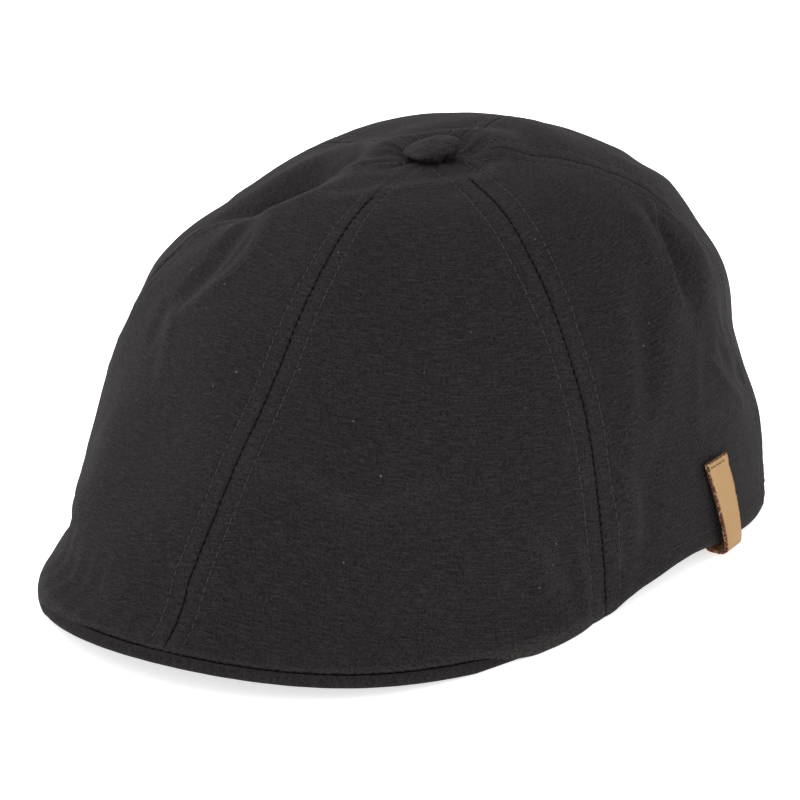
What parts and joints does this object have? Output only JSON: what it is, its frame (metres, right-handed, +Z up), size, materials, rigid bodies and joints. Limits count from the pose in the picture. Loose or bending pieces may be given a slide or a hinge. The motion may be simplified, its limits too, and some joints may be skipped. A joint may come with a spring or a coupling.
{
  "type": "flat cap",
  "caption": "Dark duckbill flat cap with a stiff arched brim, crown panels meeting at a covered button and a leather tab.",
  "frame": {"origin": "middle of the whole cap on the surface it lies on", "axes": "-Y to the front of the brim, +X to the wearer's left, +Z up to the button"},
  "size_m": [0.1862, 0.2514, 0.1138],
  "materials": {
    "crown_cloth": "waxed plain weave, soft sheen",
    "brim_cloth": "waxed plain weave over a stiff board",
    "button_cloth": "waxed plain weave drawn over a dome",
    "tab_leather": "smooth tan face with a rough cut edge"
  },
  "bodies": {
    "root": {"front_left_panel": "crown_cloth", "front_right_panel": "crown_cloth", "side_left_panel": "crown_cloth", "side_right_panel": "crown_cloth", "rear_left_panel": "crown_cloth", "rear_right_panel": "crown_cloth", "brim": "brim_cloth", "top_button": "button_cloth", "leather_tab": "tab_leather"}
  },
  "joints": []
}
